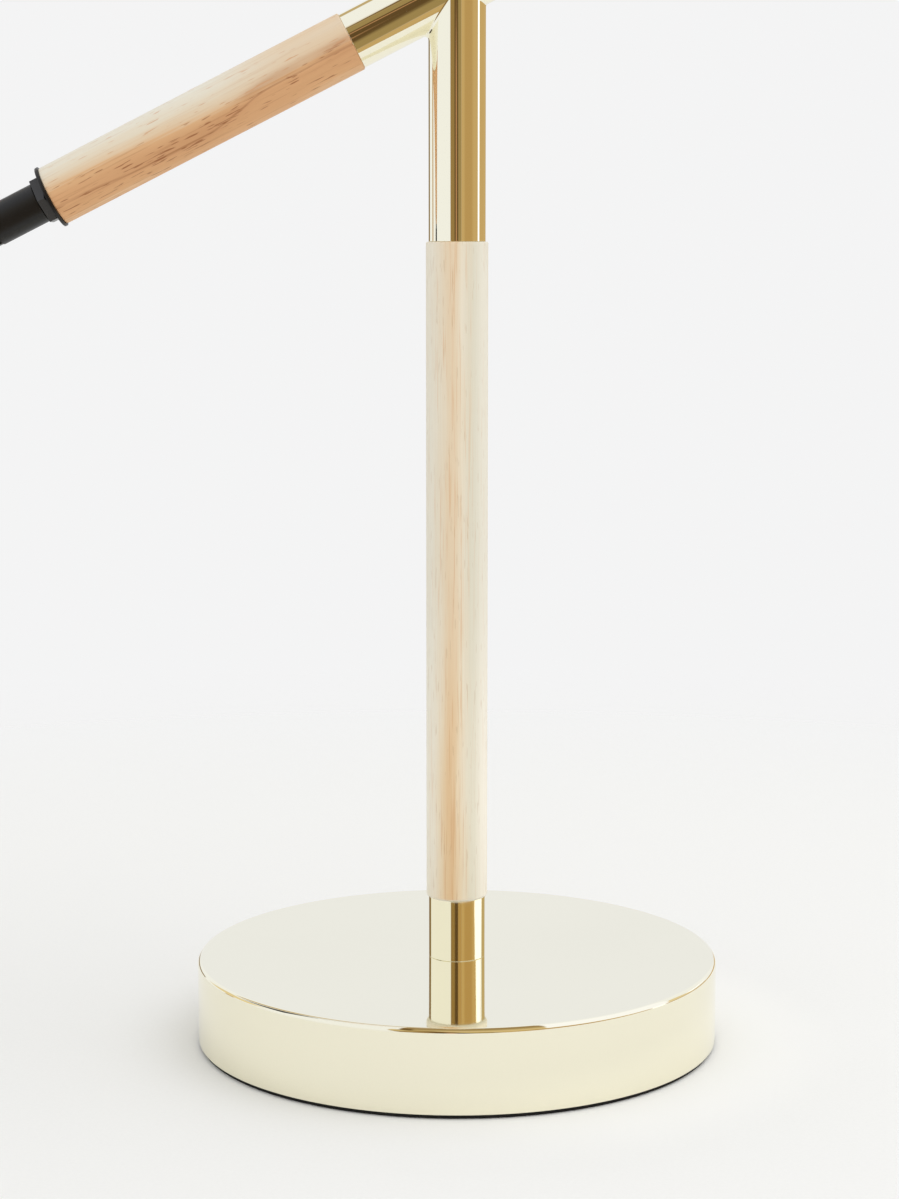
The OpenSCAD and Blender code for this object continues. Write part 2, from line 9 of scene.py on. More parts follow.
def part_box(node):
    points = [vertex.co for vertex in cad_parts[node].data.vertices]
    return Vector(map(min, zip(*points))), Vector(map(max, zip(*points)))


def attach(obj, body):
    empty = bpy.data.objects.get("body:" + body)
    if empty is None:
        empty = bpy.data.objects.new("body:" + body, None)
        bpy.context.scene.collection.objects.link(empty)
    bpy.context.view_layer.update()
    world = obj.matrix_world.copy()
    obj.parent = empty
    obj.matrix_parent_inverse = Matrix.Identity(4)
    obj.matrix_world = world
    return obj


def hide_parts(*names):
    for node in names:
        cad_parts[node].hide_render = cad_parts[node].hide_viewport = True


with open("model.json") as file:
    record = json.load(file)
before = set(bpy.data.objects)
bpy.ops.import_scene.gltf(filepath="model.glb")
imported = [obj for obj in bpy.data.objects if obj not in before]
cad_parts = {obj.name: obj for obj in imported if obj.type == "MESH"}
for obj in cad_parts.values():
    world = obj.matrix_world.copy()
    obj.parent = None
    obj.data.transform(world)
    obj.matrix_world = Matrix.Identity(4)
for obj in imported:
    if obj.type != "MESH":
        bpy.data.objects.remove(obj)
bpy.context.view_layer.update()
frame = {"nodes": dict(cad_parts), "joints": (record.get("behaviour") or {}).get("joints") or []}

# Weight: an iron casting inside the base that keeps the lamp from tipping, with a boss under
# the column. It stays as it left the sand, dark grey and grainy, and nothing shows of it.


class Wire:
    """An output socket of a shader. Arithmetic adds Math nodes, and node() adds any other node."""

    def __init__(self, tree, socket=None):
        self.tree = tree
        self.socket = socket

    def node(self, kind, settings, values, output=0):
        """Adds a node: its settings first, then the values of its inputs or the wires into them."""
        made = self.tree.nodes.new("ShaderNode" + kind)
        for name, value in settings.items():
            if name == "stops":
                set_stops(made.color_ramp.elements, value)
            else:
                setattr(made, name, value)
        for name, value in values.items():
            if isinstance(value, Wire):
                self.tree.links.new(value.socket, made.inputs[name])
            else:
                made.inputs[name].default_value = value
        return Wire(self.tree, made.outputs[output])

    def math(self, operation, first, second=0.0):
        return self.node("Math", {"operation": operation}, {0: first, 1: second})

    def __add__(self, other):
        return self.math("ADD", self, other)

    __radd__ = __add__

    def __sub__(self, other):
        return self.math("SUBTRACT", self, other)

    def __rsub__(self, other):
        return self.math("SUBTRACT", other, self)

    def __mul__(self, other):
        return self.math("MULTIPLY", self, other)

    __rmul__ = __mul__

    def __truediv__(self, other):
        return self.math("DIVIDE", self, other)


def set_stops(elements, stops):
    """Gives a colour ramp its (position, colour) stops."""
    while len(elements) > 1:
        elements.remove(elements[-1])
    elements[0].position, elements[0].color = stops[0]
    for position, colour in stops[1:]:
        elements.new(position).color = colour


def srgb(red, green, blue):
    """A screen colour, from 0 to 255, as the linear colour that a shader takes."""
    levels = [level / 255 for level in (red, green, blue)]
    return [v / 12.92 if v < 0.04045 else ((v + 0.055) / 1.055) ** 2.4 for v in levels] + [1.0]


def parts(vector):
    """The three numbers of a vector."""
    split = vector.node("SeparateXYZ", {}, {0: vector}).socket.node
    return [Wire(vector.tree, output) for output in split.outputs]


def noise(spot, waves, detail=2.0, distortion=0.0):
    """Noise from 0 to 1, with a number of waves per metre along each axis."""
    scaled = spot.node("VectorMath", {"operation": "MULTIPLY"}, {0: spot, 1: waves})
    values = {"Vector": scaled, "Scale": 1.0, "Detail": detail, "Distortion": distortion}
    return spot.node("TexNoise", {}, values)


def ramp(value, low, high):
    """0 at low and 1 at high, with a smooth run between them."""
    return value.node("MapRange", {"interpolation_type": "SMOOTHSTEP"},
                      {"Value": value, "From Min": low, "From Max": high})


def mix(share, first, second):
    """A colour that runs from first to second as the share goes from 0 to 1."""
    return share.node("Mix", {"data_type": "RGBA"}, {0: share, 6: first, 7: second}, 2)


def bump(height, depth):
    """Relief for a Normal socket: how deep the surface goes where the height runs from 0 to 1."""
    return height.node("Bump", {}, {"Strength": 1.0, "Distance": depth, "Height": height})


def new_finish(name, constants):
    """A new material with what is the same all over it, its object coordinates and its shader."""
    made = bpy.data.materials.new(name)
    made.use_nodes = True
    shader = made.node_tree.nodes["Principled BSDF"]
    for socket, value in constants.items():
        shader.inputs[socket].default_value = value
    return made, Wire(made.node_tree).node("TexCoord", {}, {}, "Object"), shader


def feed(shader, wires):
    """Links wires to the sockets of a shader."""
    for socket, wire in wires.items():
        wire.tree.links.new(wire.socket, shader.inputs[socket])


def dress(finish, *nodes):
    """Gives a finish to nodes that keep their own shape."""
    for node in nodes:
        for slot in frame["nodes"][node].material_slots:
            slot.material = finish


mm = 0.001
cast_iron, spot, shader = new_finish("cast_iron", {"Metallic": 0.7})
sand_grain = noise(spot, (700, 700, 700), 4.0)
feed(shader, {
    "Base Color": mix(sand_grain, srgb(40, 39, 38), srgb(94, 92, 88)),
    "Roughness": 0.55 + 0.3 * sand_grain,
    "Normal": bump(sand_grain, 0.2 * mm),
})
dress(cast_iron, "base_weight")

# Base cover: a disc of sheet steel spun over a former, with a small rounded edge and a top drawn
# down a little by the column's threaded tube, which clamps it. It is plated in polished pale gold.


def reach(node, place=Matrix()):
    """Least and greatest height, and least and greatest radius, of a node about a place's Z axis."""
    back = place.inverted()
    points = [back @ vert.co for vert in frame["nodes"][node].data.vertices]
    heights = [p.z for p in points]
    radii = [math.hypot(p.x, p.y) for p in points]
    return min(heights), max(heights), min(radii), max(radii)


def lathe(outline, steps=192):
    """Spins an outline of (radius, height, rounding) points about Z and rounds its corners."""
    bm = bmesh.new()
    line = [bm.verts.new((radius, 0, height)) for radius, height, rounding in outline]
    ends = zip(line, line[1:] if outline[0][0] == outline[-1][0] == 0 else line[1:] + line[:1])
    edges = [bm.edges.new(pair) for pair in ends]
    bmesh.ops.spin(bm, geom=line + edges, cent=(0, 0, 0), axis=(0, 0, 1), angle=2 * math.pi,
                   steps=steps, use_merge=True)
    bmesh.ops.remove_doubles(bm, verts=bm.verts, dist=0.002 * mm)
    bmesh.ops.recalc_face_normals(bm, faces=bm.faces)
    for radius, height, rounding in outline:
        if rounding:
            soften(bm, ring_edges(bm, radius, height), rounding)
    return bm


def ring_edges(bm, radius, height):
    """The edges of the ring at a radius and a height."""
    near = 0.004 * mm
    on_ring = {v for v in bm.verts
               if abs(v.co.z - height) < near and abs(math.hypot(v.co.x, v.co.y) - radius) < near}
    return [e for e in bm.edges if e.verts[0] in on_ring and e.verts[1] in on_ring]


def soften(bm, edges, size, segments=5):
    """Rounds edges."""
    bmesh.ops.bevel(bm, geom=edges, offset=size, offset_type="OFFSET", segments=segments,
                    profile=0.5, affect="EDGES", material=-1)


def combine(shape, tool, operation):
    """A shape cut by a tool, joined to it, or kept inside it, as a new shape."""
    blanks = []
    for bm in (shape, tool):
        mesh = bpy.data.meshes.new("blank")
        bm.to_mesh(mesh)
        bm.free()
        blanks.append(bpy.data.objects.new("blank", mesh))
        bpy.context.scene.collection.objects.link(blanks[-1])
    change = blanks[0].modifiers.new("combine", "BOOLEAN")
    change.operation = operation
    change.solver = "EXACT"
    change.object = blanks[1]
    result = bmesh.new()
    result.from_object(blanks[0], bpy.context.evaluated_depsgraph_get())
    for blank in blanks:
        bpy.data.meshes.remove(blank.data)
    return result


def peg(radius, low, high, steps=48):
    """A plain round tool for cutting."""
    return lathe([(0, low, 0), (radius, low, 0), (radius, high, 0), (0, high, 0)], steps)


def piece(name, bm, place, finishes, body, slot, *nodes):
    """Puts a shape in its place, shades it smooth between hard edges and gives it to a body."""
    hard_edge = math.radians(33)
    bm.transform(place)
    for face in bm.faces:
        face.smooth = True
    for edge in bm.edges:
        edge.smooth = len(edge.link_faces) == 2 and edge.calc_face_angle() < hard_edge
    mesh = bpy.data.meshes.new(name)
    bm.to_mesh(mesh)
    bm.free()
    for finish in finishes:
        mesh.materials.append(finish)
    made = bpy.data.objects.new(name, mesh)
    bpy.context.scene.collection.objects.link(made)
    even = made.modifiers.new("even_shading", "WEIGHTED_NORMAL")
    even.keep_sharp = True
    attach(made, body)
    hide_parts(*nodes)
    return made


def facing(origin, axis, side=(0, 1, 0)):
    """A place whose Z runs along an axis and whose Y lies on a side."""
    z = Vector(axis).normalized()
    y = Vector(side)
    turn = Matrix((y.cross(z), y, z)).transposed()
    return Matrix.Translation(Vector(origin)) @ turn.to_4x4()


def polished_gold(name, colour):
    """Mirror plating with a breath of haze and a slow drift of tone."""
    made, spot, shader = new_finish(name, {"Metallic": 1.0})
    haze = noise(spot, (420, 420, 420), 3.0)
    drift = noise(spot, (14, 14, 14))
    deeper = [level * 0.96 for level in colour[:3]] + [1.0]
    feed(shader, {
        "Base Color": mix(drift, deeper, colour),
        "Roughness": 0.02 + 0.035 * haze,
        "Normal": bump(noise(spot, (60, 60, 60)), 0.004 * mm),
    })
    return made


gold = polished_gold("pale_gold", [0.96, 0.92, 0.745, 1.0])
cover_wall = 1.2 * mm
cover_edge = 1.4 * mm
hem = 0.3 * mm
hollow = 0.8 * mm
top_rings = 8
low, high, bore, radius = reach("base_cover")
hollow_radius = radius - 1.6 * cover_edge
lining = radius - cover_wall
underside = high - cover_wall - hollow
top = []
for k in range(top_rings):
    out = bore + (hollow_radius - bore) * k / (top_rings - 1)
    top.append((out, high - hollow * (1 - (out / radius) ** 2), 0))
cover = lathe(top + [
    (radius, high, cover_edge), (radius, low, hem), (lining, low, hem), (lining, underside, 0),
    (bore, underside, 0),
], 288)
inlet_radius = 5.05 * mm
drill_reach = 4.0 * mm
grommet_low, grommet_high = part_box("cord_grommet")
inlet = facing((0, 0, (grommet_low.z + grommet_high.z) / 2), (0, 1, 0), (1, 0, 0))
drill = peg(inlet_radius, radius - drill_reach, radius + drill_reach)
drill.transform(inlet)
piece("spun_base_cover", combine(cover, drill, "DIFFERENCE"), Matrix(), [gold],
      "stand", "gold", "base_cover")

# Pad: a disc of black foam stuck under the base, a little smaller than the cover. Only its
# edge shows, as a thin dark line between the gold and the table.
black_foam, spot, shader = new_finish("black_foam", {"Specular IOR Level": 0.2})
cells = noise(spot, (2600, 2600, 2600), 2.0)
feed(shader, {
    "Base Color": mix(cells, srgb(20, 19, 18), srgb(40, 38, 36)),
    "Roughness": 0.8 + 0.15 * cells,
    "Normal": bump(cells, 0.15 * mm),
})
pad_edge = 0.35 * mm
low, high, bore, radius = reach("base_pad")
piece("foam_pad", lathe([
    (0, low, 0), (radius, low, pad_edge), (radius, high, pad_edge), (0, high, 0),
], 256), Matrix(), [black_foam], "stand", "pad", "base_pad")

# Cord grommet: a soft black ring with a flange on each side of the cover's back wall. It
# snaps into the hole and keeps the cord off the sheet's edge.
black_rubber, spot, shader = new_finish("black_rubber", {"Specular IOR Level": 0.3})
bloom = noise(spot, (500, 500, 500), 3.0)
feed(shader, {
    "Base Color": mix(bloom, srgb(24, 24, 24), srgb(38, 37, 36)),
    "Roughness": 0.55 + 0.2 * bloom,
    "Normal": bump(bloom, 0.03 * mm),
})
flange = 1.6 * mm
snap_play = 0.05 * mm
inner_mouth = 0.4 * mm
outer_mouth = 0.7 * mm
inner_lip = 0.5 * mm
outer_lip = 0.9 * mm
groove_lip = 0.3 * mm
low, high, bore, radius = reach("cord_grommet", inlet)
neck = inlet_radius - snap_play
piece("inlet_grommet", lathe([
    (bore, low, inner_mouth), (radius, low, inner_lip), (radius, low + flange, groove_lip),
    (neck, low + flange, 0), (neck, high - flange, 0), (radius, high - flange, groove_lip),
    (radius, high, outer_lip), (bore, high, outer_mouth),
], 72), inlet, [black_rubber], "stand", "pad", "cord_grommet")

# Terminal block: a moulded cream block on the weight with two brass screws, where the supply
# cord is joined to the lamp's own lead. The cover hides it.


def moulded(name, shade, light, rough):
    """Moulded plastic with a fine spark-eroded texture."""
    made, spot, shader = new_finish(name, {"Specular IOR Level": 0.45})
    texture = noise(spot, (2200, 2200, 2200), 2.0)
    cloud = noise(spot, (60, 60, 60), 3.0)
    feed(shader, {
        "Base Color": mix(cloud, shade, light),
        "Roughness": rough + 0.12 * texture,
        "Normal": bump(texture, 0.02 * mm),
    })
    return made


cream_plastic = moulded("cream_plastic", srgb(226, 221, 206), srgb(238, 234, 222), 0.32)
dress(cream_plastic, "terminal_block")
turned_brass, spot, shader = new_finish("turned_brass", {"Metallic": 1.0})
tool_marks = noise(spot, (300, 300, 4000), 2.0)
feed(shader, {
    "Base Color": mix(tool_marks, [0.62, 0.44, 0.17, 1.0], [0.78, 0.58, 0.25, 1.0]),
    "Roughness": 0.2 + 0.15 * tool_marks,
    "Normal": bump(tool_marks, 0.01 * mm),
})
dress(turned_brass, "terminal_screws")

# Threaded tubes: zinc-plated steel tubes, threaded all along, that run inside column and arm,
# and a short one that holds the shade. Nuts, a washer and brass bushes close the stack.


def turned_into(spot, place):
    """Object coordinates seen from a place, so that a pattern can follow its axis."""
    back = place.inverted()
    return spot.node("Mapping", {}, {
        "Vector": spot, "Location": back.to_translation(), "Rotation": back.to_euler(),
    })


def threaded_steel(name, place):
    """Plated steel with the grooves of a thread along a place's Z axis."""
    made, spot, shader = new_finish(name, {"Metallic": 1.0})
    pitch = 1.0 * mm
    spot = turned_into(spot, place)
    height = parts(spot)[2]
    groove = height.math("PINGPONG", height / (pitch / 2), 1.0)
    dull = noise(spot, (260, 260, 260), 4.0)
    feed(shader, {
        "Base Color": mix(dull, srgb(150, 150, 148), srgb(196, 196, 192)),
        "Roughness": 0.28 + 0.2 * dull,
        "Normal": bump(groove, 0.35 * mm),
    })
    return made


turn, tilt, press = frame["joints"]
arm_axis = Vector(turn["axis"])
arm_pivot = Vector(turn["pos_m"])
crossing = arm_pivot - arm_axis * (arm_pivot.x / arm_axis.x)
arm = facing(crossing, arm_axis)
tilt_pivot = Vector(tilt["pos_m"])
holder_low, holder_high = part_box("holder_body")
head = facing(tilt_pivot, (holder_low + holder_high) / 2 - tilt_pivot)
dress(threaded_steel("column_thread", Matrix()), "column_rod")
dress(threaded_steel("arm_thread", arm), "arm_rod")
dress(threaded_steel("head_thread", head), "nipple")
zinc_steel, spot, shader = new_finish("zinc_steel", {"Metallic": 1.0})
spangle = noise(spot, (180, 180, 180), 4.0)
feed(shader, {
    "Base Color": mix(spangle, srgb(158, 158, 156), srgb(204, 204, 200)),
    "Roughness": 0.25 + 0.2 * spangle,
    "Normal": bump(spangle, 0.01 * mm),
})
dress(zinc_steel, "base_washer", "base_nut", "shade_nut")
dress(turned_brass, "column_bush", "arm_bush")

# Inner lead: round twin-core lead in white sheath, from the terminal block up the column and
# down the arm, inside the tubes. Two shorter lengths join the holder and the switch in the head.
lead_sheath = moulded("lead_sheath", srgb(214, 212, 205), srgb(232, 230, 224), 0.42)
dress(lead_sheath, "inner_lead", "head_lead", "switch_lead")

# Lower ferrule: a short length of gold tube that stands on the base and lifts the wood clear
# of it. Both ends are faced and lightly broken.
tube_wall = 1.5 * mm
broken_edge = 0.2 * mm
low, high, bore, tube_radius = reach("lower_ferrule")
foot = low - hollow
piece("gold_ferrule", lathe([
    (bore, foot, 0), (tube_radius, foot, broken_edge), (tube_radius, high, broken_edge),
    (bore, high, 0),
]), Matrix(), [gold], "stand", "gold", "lower_ferrule")

# Column sleeve: a dowel of pale wood, bored and turned, sanded and sealed with matt lacquer.
# A warm streak of heartwood runs up its front, and the threaded tube clamps it on the ferrule.
# Its colour also holds painted light and shade: lighter towards the foot, a greyer right side,
# a lighter right edge low down and a painted highlight along the foot's rounded edge.


def timber(name):
    """Matt lacquered wood: its finish, its coordinates and its shader."""
    return new_finish(name, {"Specular IOR Level": 0.3})


def grain(spot):
    """Long fibres and thin warm lines, with the wood running along Z."""
    fibre = noise(spot, (1500, 1500, 22), 3.0, 0.3)
    lines = ramp(noise(spot, (1500, 1500, 38), 2.0, 0.3), 0.54, 0.7)
    return fibre, lines


low, high, bore, radius = reach("column_wood")
column_finish, spot, shader = timber("column_wood_finish")
x, y, z = parts(spot)
fibre, lines = grain(spot)
drift = noise(spot, (170, 170, 7), 3.0, 0.4)
side = x / radius
height = high - low
# lower is 1 near the foot and 0 above the middle. Several colours below use it to paint light onto
# the foot.
lower = ramp(z, low + 0.55 * height, low + 0.1 * height)
wander = noise(spot.node("CombineXYZ", {}, {"Z": z}), (0, 0, 17), 1.0)
off_heart = x.math("ABSOLUTE", side + 0.17 - 0.4 * (wander - 0.5)) + 0.2 * (fibre - 0.5)
warm = ramp(off_heart + 0.5 * (drift - 0.5), 0.75, 0.1)
streak = ramp(off_heart + 0.25 * (drift - 0.5), 0.3, 0.0)
pores = ramp(noise(spot, (1700, 1700, 150), 1.0), 0.66, 0.72)
sapwood = mix(fibre, srgb(236, 230, 212), srgb(245, 239, 223))
# Painted light: the sapwood is lightened towards the foot.
painted_lower_light = mix(0.6 * lower, sapwood, srgb(254, 248, 233))
# Painted shade: the right side, where the key light falls, is greyer, most of all up high.
grey = mix(lower, srgb(225, 219, 200), srgb(237, 230, 210))
painted_shade_side = mix(ramp(side, 0.05, 0.45), painted_lower_light, grey)
# Painted light: the right edge is lighter, most of all near the foot.
light = mix(lower, srgb(235, 229, 213), srgb(255, 248, 233))
lighter = mix(ramp(side, 0.5, 0.9), painted_shade_side, light)
heartwood = mix(lower, srgb(231, 206, 170), srgb(237, 206, 159))
warmed = mix(warm * (0.65 + 0.12 * lower), lighter, heartwood)
streaked = mix(streak * (0.2 + 0.4 * lower), warmed, srgb(230, 189, 139))
lined = mix(lines * (0.15 + 0.4 * warm), streaked, srgb(221, 176, 130))
foot_break = 0.9 * mm
# Painted highlight: a near-white line along the rounded edge at the foot.
painted_foot_glint = srgb(255, 252, 246)
with_foot_glint = mix(ramp(z, low + foot_break, low), lined, painted_foot_glint)
feed(shader, {
    "Base Color": mix(0.22 * pores, with_foot_glint, srgb(190, 150, 108)),
    "Roughness": 0.5 + 0.15 * fibre,
    "Normal": bump(fibre - 0.4 * pores, 0.05 * mm),
})
end_break = 0.5 * mm
piece("column_sleeve", lathe([
    (bore, low, 0), (radius, low, foot_break), (radius, high, end_break), (bore, high, 0),
]), Matrix(), [column_finish], "stand", "column_wood", "column_wood")

# Tee: the upper column tube, mitred into the side of the arm tube and welded all round. The
# weld is dressed to a small fillet before plating, so the two tubes shine as one.


def rim_edges(bm, rim):
    """The edges of a closed rim of vertices."""
    return [bm.edges.get(pair) for pair in zip(rim, rim[1:] + rim[:1])]


def extend(bm, rim, points):
    """Extrudes a closed rim, moves each new vertex to its point and returns the new rim."""
    made = bmesh.ops.extrude_edge_only(bm, edges=rim_edges(bm, rim))["geom"]
    fresh = {v for v in made if isinstance(v, bmesh.types.BMVert)}
    new_rim = []
    for vert, point in zip(rim, points):
        twin = next(e.other_vert(vert) for e in vert.link_edges if e.other_vert(vert) in fresh)
        twin.co = point
        new_rim.append(twin)
    return new_rim


def on_arm(radius, around, along):
    """A point on the arm tube: around is 0 on the tube's under side."""
    return arm @ Vector((-radius * math.cos(around), radius * math.sin(around), along))


def tee_skin(bm, column_radius, arm_radius, fillet):
    """One skin of the tee, with a rolled fillet in the corner: returns its three open rims."""
    count = 192
    arc_steps = 6
    back = arm.inverted()
    ball_ring = []
    for k in range(count):
        angle = 2 * math.pi * k / count
        x = (column_radius + fillet) * math.cos(angle)
        y = (column_radius + fillet) * math.sin(angle)
        under = -math.sqrt((arm_radius + fillet) ** 2 - y * y)
        z = crossing.z + (under - arm_axis.z * x) / -arm_axis.x
        ball_ring.append(Vector((x, y, z)))
    to_column = [-Vector((ball.x, ball.y, 0)).normalized() for ball in ball_ring]
    to_arm = []
    for ball in ball_ring:
        spoke = back @ ball
        spoke.z = 0
        to_arm.append(-(arm.to_3x3() @ spoke).normalized())
    foot = bmesh.ops.create_circle(bm, segments=count, radius=column_radius)["verts"]
    for vert, lead in zip(foot, to_column):
        vert.co = -column_radius * lead
        vert.co.z = tee_foot
    rim = foot
    for step in range(arc_steps + 1):
        share = step / arc_steps
        rim = extend(bm, rim, [ball + fillet * a.slerp(b, share)
                               for ball, a, b in zip(ball_ring, to_column, to_arm)])
    quarter = count // 4
    side = back @ rim[quarter].co
    widest = math.atan2(side.y, -side.x)
    back_count = count // 2 - 1
    over = []
    for k in range(back_count):
        around = widest + 2 * (math.pi - widest) * (k + 1) / (back_count + 1)
        over.append(bm.verts.new(on_arm(arm_radius, around, side.z)))
    chain = [rim[quarter]] + over + [rim[3 * quarter]]
    for pair in zip(chain, chain[1:]):
        bm.edges.new(pair)
    down_loop = rim[quarter:3 * quarter + 1] + over[::-1]
    up_loop = rim[quarter::-1] + rim[:3 * quarter - 1:-1] + over[::-1]
    ends = []
    for loop, along in ((down_loop, tee_end), (up_loop, tee_tail)):
        spokes = [back @ vert.co for vert in loop]
        arounds = [math.atan2(spoke.y, -spoke.x) for spoke in spokes]
        ends.append(extend(bm, loop, [on_arm(arm_radius, around, along) for around in arounds]))
    return [foot] + ends


tee_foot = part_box("tee_joint")[0].z
tee_end = reach("arm_wood", arm)[0]
cap_low, cap_high, bore, arm_radius = reach("tail_cap", arm)
cap_plug = 6.0 * mm
tee_tail = cap_high - cap_plug
weld = 1.0 * mm
bare_corner = 0.05 * mm
bm = bmesh.new()
outside = tee_skin(bm, tube_radius, arm_radius, weld)
inside = tee_skin(bm, tube_radius - tube_wall, arm_radius - tube_wall, bare_corner)
for outer, inner in zip(outside, inside):
    bmesh.ops.bridge_loops(bm, edges=rim_edges(bm, outer) + rim_edges(bm, inner))
bmesh.ops.recalc_face_normals(bm, faces=bm.faces)
soften(bm, [edge for rim in outside for edge in rim_edges(bm, rim)], broken_edge, 3)
piece("welded_tee", bm, Matrix(), [gold], "stand", "gold", "tee_joint")

# Tail cap: a shallow turned dome with a plug, pressed into the upper end of the arm tube and
# plated with it. A fine shadow line is left at the seam.
seam = 0.15 * mm
rim_height = 0.8 * mm
cap_edge = 0.4 * mm
plug_play = 0.05 * mm
dome_steps = 10
dome_foot = tee_tail - rim_height
dome = dome_foot - cap_low
dome_radius = (arm_radius ** 2 + dome ** 2) / (2 * dome)
dome_line = []
for k in range(dome_steps):
    out = arm_radius * k / dome_steps
    dome_line.append((out, cap_low + dome_radius - math.sqrt(dome_radius ** 2 - out ** 2), 0))
plug = arm_radius - tube_wall - plug_play
piece("domed_tail_cap", lathe(dome_line + [
    (arm_radius, dome_foot, cap_edge), (arm_radius, tee_tail - seam, seam),
    (plug, tee_tail - seam, 0), (plug, cap_high, cap_edge), (0, cap_high, 0),
], 128), arm, [gold], "stand", "gold", "tail_cap")

# Arm sleeve: the same turned wood, cut where pale sapwood meets tan heartwood, so the upper
# half is light and the lower half warm, with rows of brown pores along the boundary. A painted
# sheen also lies along the upper third.
low, high, bore, radius = reach("arm_wood", arm)
arm_finish, spot, shader = timber("arm_wood_finish")
spot = turned_into(spot, arm)
x, y, z = parts(spot)
fibre, lines = grain(spot)
slow = noise(spot, (70, 70, 14), 2.0, 0.5)
fingers = noise(spot, (420, 420, 16), 2.0, 0.3)
up = x / radius
along = (z - low) / (high - low)
rise = 0.24 * ramp(along, 0.4, 0.9) + 0.12 * ramp(along, 0.3, 0.1) - 0.17
tanned_top = 0.2 * ramp(up, 0.6, 1.0) * ramp(along, 0.45, 0.15)
wavy = 0.18 * (slow - 0.5) + 0.2 * (fingers - 0.5) + 0.08 * (fibre - 0.5)
tone = 0.5 + 0.36 * (up - rise) - tanned_top + wavy
# The pale end of these stops carries a painted sheen on the upper third; the lowest stop makes the
# very underside a little lighter.
across = tone.node("ValToRGB", {"stops": [
    (0.12, srgb(231, 190, 147)), (0.19, srgb(224, 174, 126)), (0.28, srgb(218, 167, 120)),
    (0.42, srgb(218, 168, 121)), (0.49, srgb(221, 175, 128)), (0.515, srgb(225, 191, 152)),
    (0.6, srgb(226, 203, 172)), (0.7, srgb(227, 215, 193)), (0.85, srgb(228, 223, 208)),
]}, {0: tone})
heart = ramp(tone, 0.56, 0.48)
near_tee = ramp(along, 0.5, 0.15)
peach = mix(0.55 * near_tee * (1.0 - heart), across, srgb(223, 193, 157))
lined = mix(lines * (0.15 + 0.35 * heart), peach, srgb(193, 141, 96))
patches = ramp(noise(spot, (150, 150, 20), 2.0), 0.38, 0.6)
bend = 0.45 * ramp(along, 0.25, 0.5) - 0.2 * ramp(along, 0.65, 0.95)
ring = up + 0.2 + bend + 0.3 * (slow - 0.5)
band = ramp(x.math("ABSOLUTE", ring - 0.1), 0.42, 0.05) * (1.0 - 0.5 * along)
browned = mix(band * patches * (0.4 + 0.3 * near_tee), lined, srgb(188, 130, 84))
ring_line = ramp(x.math("ABSOLUTE", ring) + 0.12 * (fibre - 0.5), 0.06, 0.0)
ringed = mix(ring_line * (0.2 + 0.4 * patches + 0.2 * near_tee), browned, srgb(160, 101, 60))
pit = noise(spot, (1750, 1750, 165), 1.0)
flecks = ramp(pit + 0.15 * band * (0.25 + 0.75 * patches), 0.66, 0.75)
fleck_colour = mix(heart, srgb(211, 160, 118), srgb(152, 93, 54))
feed(shader, {
    "Base Color": mix(0.75 * flecks, ringed, fleck_colour),
    "Roughness": 0.48 + 0.15 * fibre,
    "Normal": bump(fibre - 0.8 * flecks, 0.05 * mm),
})
piece("arm_sleeve", lathe([
    (bore, low, 0), (radius, low, end_break), (radius, high, end_break), (bore, high, 0),
]), arm, [arm_finish], "stand", "arm_wood", "arm_wood")

# End washer: a thin stamped washer, blackened, that stands out a little past the wood and has
# its edge rounded by tumbling.


def satin_black(name, darker, lighter, gloss, rough):
    """Black paint on metal: nearly smooth, with a faint orange peel and greyer rubbed spots."""
    made, spot, shader = new_finish(name, {"Specular IOR Level": gloss})
    peel = noise(spot, (1500, 1500, 1500), 2.0)
    rubbed = noise(spot, (90, 90, 90), 4.0)
    feed(shader, {
        "Base Color": mix(rubbed, darker, lighter),
        "Roughness": rough + 0.1 * rubbed,
        "Normal": bump(peel, 0.012 * mm),
    })
    return made


black_metal = satin_black("satin_black_metal", srgb(12, 12, 13), srgb(20, 20, 21), 0.4, 0.34)
low, high, bore, radius = reach("end_washer", arm)
tumbled = 0.3 * mm
stamped = 0.15 * mm
piece("stamped_end_washer", lathe([
    (bore, low, 0), (radius, low, stamped), (radius, high, tumbled), (bore, high, 0),
], 128), arm, [black_metal], "stand", "black_metal", "end_washer")

# Lock nut: a thin black hexagon nut, chamfered on one face, screwed up against the washer
# so that one of its corners points to the front.


def thicken(bm, step):
    """Extrudes a flat face by a step, into a block whose faces point outwards."""
    made = bmesh.ops.extrude_face_region(bm, geom=bm.faces[:])["geom"]
    far = [v for v in made if isinstance(v, bmesh.types.BMVert)]
    bmesh.ops.translate(bm, verts=far, vec=step)
    bmesh.ops.recalc_face_normals(bm, faces=bm.faces)


def hexagon(across, low, high):
    """A hexagon bar with a corner on local Y."""
    corner = across / 2 / math.cos(math.pi / 6)
    bm = bmesh.new()
    ring = bmesh.ops.create_circle(bm, segments=6, radius=corner, cap_ends=True)["verts"]
    bmesh.ops.translate(bm, verts=ring, vec=(0, 0, low))
    thicken(bm, (0, 0, high - low))
    return bm


def chamfered_nut(across, bore, low, high):
    """A hexagon nut with one coned face: a turned blank, kept inside a hexagon bar."""
    flat = 0.49 * across
    spare = 0.1 * mm
    corner = across / 2 / math.cos(math.pi / 6) + spare
    fall = (corner - flat) * math.tan(math.radians(30))
    lead_in = 0.35 * mm
    blank = lathe([
        (bore, low + lead_in, 0), (bore + lead_in, low, 0), (flat, low, 0), (corner, low + fall, 0),
        (corner, high, 0), (bore + lead_in, high, 0), (bore, high - lead_in, 0),
    ], 96)
    return combine(blank, hexagon(across, low - mm, high + mm), "INTERSECT")


